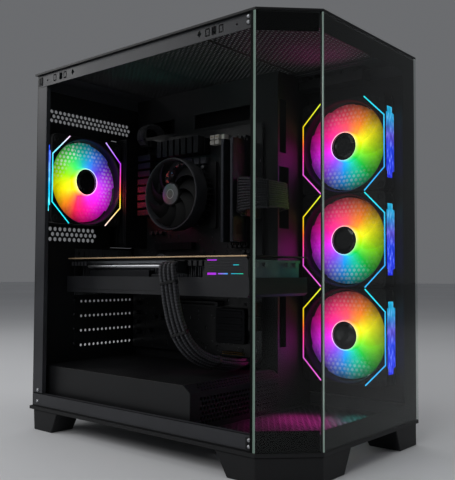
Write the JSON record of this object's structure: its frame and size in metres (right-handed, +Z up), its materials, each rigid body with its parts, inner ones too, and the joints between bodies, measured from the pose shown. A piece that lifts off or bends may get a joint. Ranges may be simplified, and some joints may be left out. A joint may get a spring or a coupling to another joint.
{
  "type": "desktop computer tower",
  "caption": "Black desktop tower with glass front and corner, open window side, rainbow-lit fans, graphics card, cooler, motherboard and power supply inside.",
  "frame": {"origin": "on the floor under the middle of the whole tower", "axes": "+Z up, -Y out of the front glass, -X out of the open window side"},
  "size_m": [0.256, 0.432, 0.47],
  "materials": {
    "case_steel": "satin black powder coat",
    "case_plastic": "fine spark-eroded black",
    "filter_mesh": "matt black mesh",
    "button_plastic": "smooth black",
    "clear_glass": "tempered, lightly tinted, black printed borders",
    "screw_steel": "nickel plated",
    "heatsink_alloy": "bare fins",
    "dark_alloy": "black anodised",
    "circuit_board": "black solder mask",
    "card_cover": "dark grey moulded",
    "card_plate": "dark brushed plate with a warm edge",
    "lead_sleeve": "black braided sleeve",
    "fan_frame_plastic": "black with lit line guides",
    "lit_blade_plastic": "frosted translucent, lit in rainbow colours",
    "plain_blade_plastic": "satin black"
  },
  "bodies": {
    "chassis": {"floor_pan": "case_steel", "rear_wall": "case_steel", "top_frame": "case_steel", "top_cover": "case_steel", "motherboard_tray": "case_steel", "side_fan_bracket": "case_steel", "front_pillar": "case_steel", "drive_cover": "case_steel", "slot_cover_4": "case_steel", "slot_cover_5": "case_steel", "slot_cover_6": "case_steel", "slot_cover_7": "case_steel", "supply_case": "case_steel", "plinth": "case_plastic", "foot_front_left": "case_plastic", "foot_front_right": "case_plastic", "foot_rear_left": "case_plastic", "foot_rear_right": "case_plastic", "drive_cover_grille": "case_plastic", "front_ports": "case_plastic", "cpu_fan_frame": "case_plastic", "supply_inlet": "case_plastic", "corner_glass": "clear_glass", "card_bracket": "screw_steel", "rear_ports": "screw_steel", "cpu_heatsink": "heatsink_alloy", "card_heatsink": "heatsink_alloy", "rear_power_heatsink": "dark_alloy", "top_power_heatsink": "dark_alloy", "m2_heatsink": "dark_alloy", "memory_stick_rear": "dark_alloy", "memory_stick_front": "dark_alloy", "motherboard": "circuit_board", "card_circuit": "circuit_board", "card_shroud": "card_cover", "card_backplate": "card_plate", "card_power_lead": "lead_sleeve", "board_power_lead": "lead_sleeve", "side_fan_lower_frame": "fan_frame_plastic", "side_fan_middle_frame": "fan_frame_plastic", "side_fan_upper_frame": "fan_frame_plastic", "rear_fan_frame": "fan_frame_plastic"},
    "bottom_filter": {"bottom_filter": "filter_mesh"},
    "top_filter": {"top_filter": "filter_mesh"},
    "right_panel": {"right_panel": "case_steel"},
    "thumbscrew_lower": {"thumbscrew_lower": "screw_steel"},
    "thumbscrew_upper": {"thumbscrew_upper": "screw_steel"},
    "front_glass": {"front_glass": "clear_glass"},
    "power_button": {"power_button": "button_plastic"},
    "reset_button": {"reset_button": "button_plastic"},
    "supply_switch": {"supply_switch": "button_plastic"},
    "side_fan_lower_rotor": {"side_fan_lower_rotor": "lit_blade_plastic"},
    "side_fan_middle_rotor": {"side_fan_middle_rotor": "lit_blade_plastic"},
    "side_fan_upper_rotor": {"side_fan_upper_rotor": "lit_blade_plastic"},
    "rear_fan_rotor": {"rear_fan_rotor": "lit_blade_plastic"},
    "cpu_rotor": {"cpu_rotor": "plain_blade_plastic"},
    "card_rotor_front": {"card_rotor_front": "plain_blade_plastic"},
    "card_rotor_middle": {"card_rotor_middle": "plain_blade_plastic"},
    "card_rotor_rear": {"card_rotor_rear": "plain_blade_plastic"},
    "supply_rotor": {"supply_rotor": "plain_blade_plastic"}
  },
  "joints": [
    {"name": "side_fan_lower_spin", "type": "hinge", "parent": "chassis", "child": "side_fan_lower_rotor", "pos_m": [0.112, -0.1272, 0.1264], "axis": [1, 0, 0], "continuous": true},
    {"name": "side_fan_middle_spin", "type": "hinge", "parent": "chassis", "child": "side_fan_middle_rotor", "pos_m": [0.112, -0.1272, 0.2464], "axis": [1, 0, 0], "continuous": true},
    {"name": "side_fan_upper_spin", "type": "hinge", "parent": "chassis", "child": "side_fan_upper_rotor", "pos_m": [0.112, -0.1272, 0.3664], "axis": [1, 0, 0], "continuous": true},
    {"name": "rear_fan_spin", "type": "hinge", "parent": "chassis", "child": "rear_fan_rotor", "pos_m": [-0.0597, 0.191, 0.3293], "axis": [0, 1, 0], "continuous": true},
    {"name": "cpu_fan_spin", "type": "hinge", "parent": "chassis", "child": "cpu_rotor", "pos_m": [0.006, 0.077, 0.3105], "axis": [1, 0, 0], "continuous": true},
    {"name": "card_fan_front_spin", "type": "hinge", "parent": "chassis", "child": "card_rotor_front", "pos_m": [-0.0225, -0.0645, 0.185], "axis": [0, 0, 1], "continuous": true},
    {"name": "card_fan_middle_spin", "type": "hinge", "parent": "chassis", "child": "card_rotor_middle", "pos_m": [-0.0225, 0.0395, 0.185], "axis": [0, 0, 1], "continuous": true},
    {"name": "card_fan_rear_spin", "type": "hinge", "parent": "chassis", "child": "card_rotor_rear", "pos_m": [-0.0225, 0.1435, 0.185], "axis": [0, 0, 1], "continuous": true},
    {"name": "supply_fan_spin", "type": "hinge", "parent": "chassis", "child": "supply_rotor", "pos_m": [0.112, 0.1548, 0.1225], "axis": [1, 0, 0], "continuous": true},
    {"name": "power_button_press", "type": "slide", "parent": "chassis", "child": "power_button", "axis": [0, 0, -1], "range_m": [0, 0.0012], "stiffness_N_per_m": 200},
    {"name": "reset_button_press", "type": "slide", "parent": "chassis", "child": "reset_button", "axis": [0, 0, -1], "range_m": [0, 0.0012], "stiffness_N_per_m": 200},
    {"name": "supply_switch_rock", "type": "hinge", "parent": "chassis", "child": "supply_switch", "pos_m": [0.0915, 0.2053, 0.116], "axis": [1, 0, 0], "range_deg": [0, 12]},
    {"name": "right_panel_slide", "type": "slide", "parent": "chassis", "child": "right_panel", "axis": [0, 1, 0], "range_m": [0, 0.45]},
    {"name": "thumbscrew_lower_turn", "type": "hinge", "parent": "right_panel", "child": "thumbscrew_lower", "pos_m": [0.117, 0.207, 0.053], "axis": [0, 1, 0], "continuous": true},
    {"name": "thumbscrew_upper_turn", "type": "hinge", "parent": "right_panel", "child": "thumbscrew_upper", "pos_m": [0.117, 0.207, 0.425], "axis": [0, 1, 0], "continuous": true},
    {"name": "front_glass_pull", "type": "slide", "parent": "chassis", "child": "front_glass", "axis": [0, -1, 0], "range_m": [0, 0.08]},
    {"name": "top_filter_lift", "type": "slide", "parent": "chassis", "child": "top_filter", "axis": [0, 0, 1], "range_m": [0, 0.05]},
    {"name": "bottom_filter_slide", "type": "slide", "parent": "chassis", "child": "bottom_filter", "axis": [0, 1, 0], "range_m": [0, 0.38]}
  ]
}
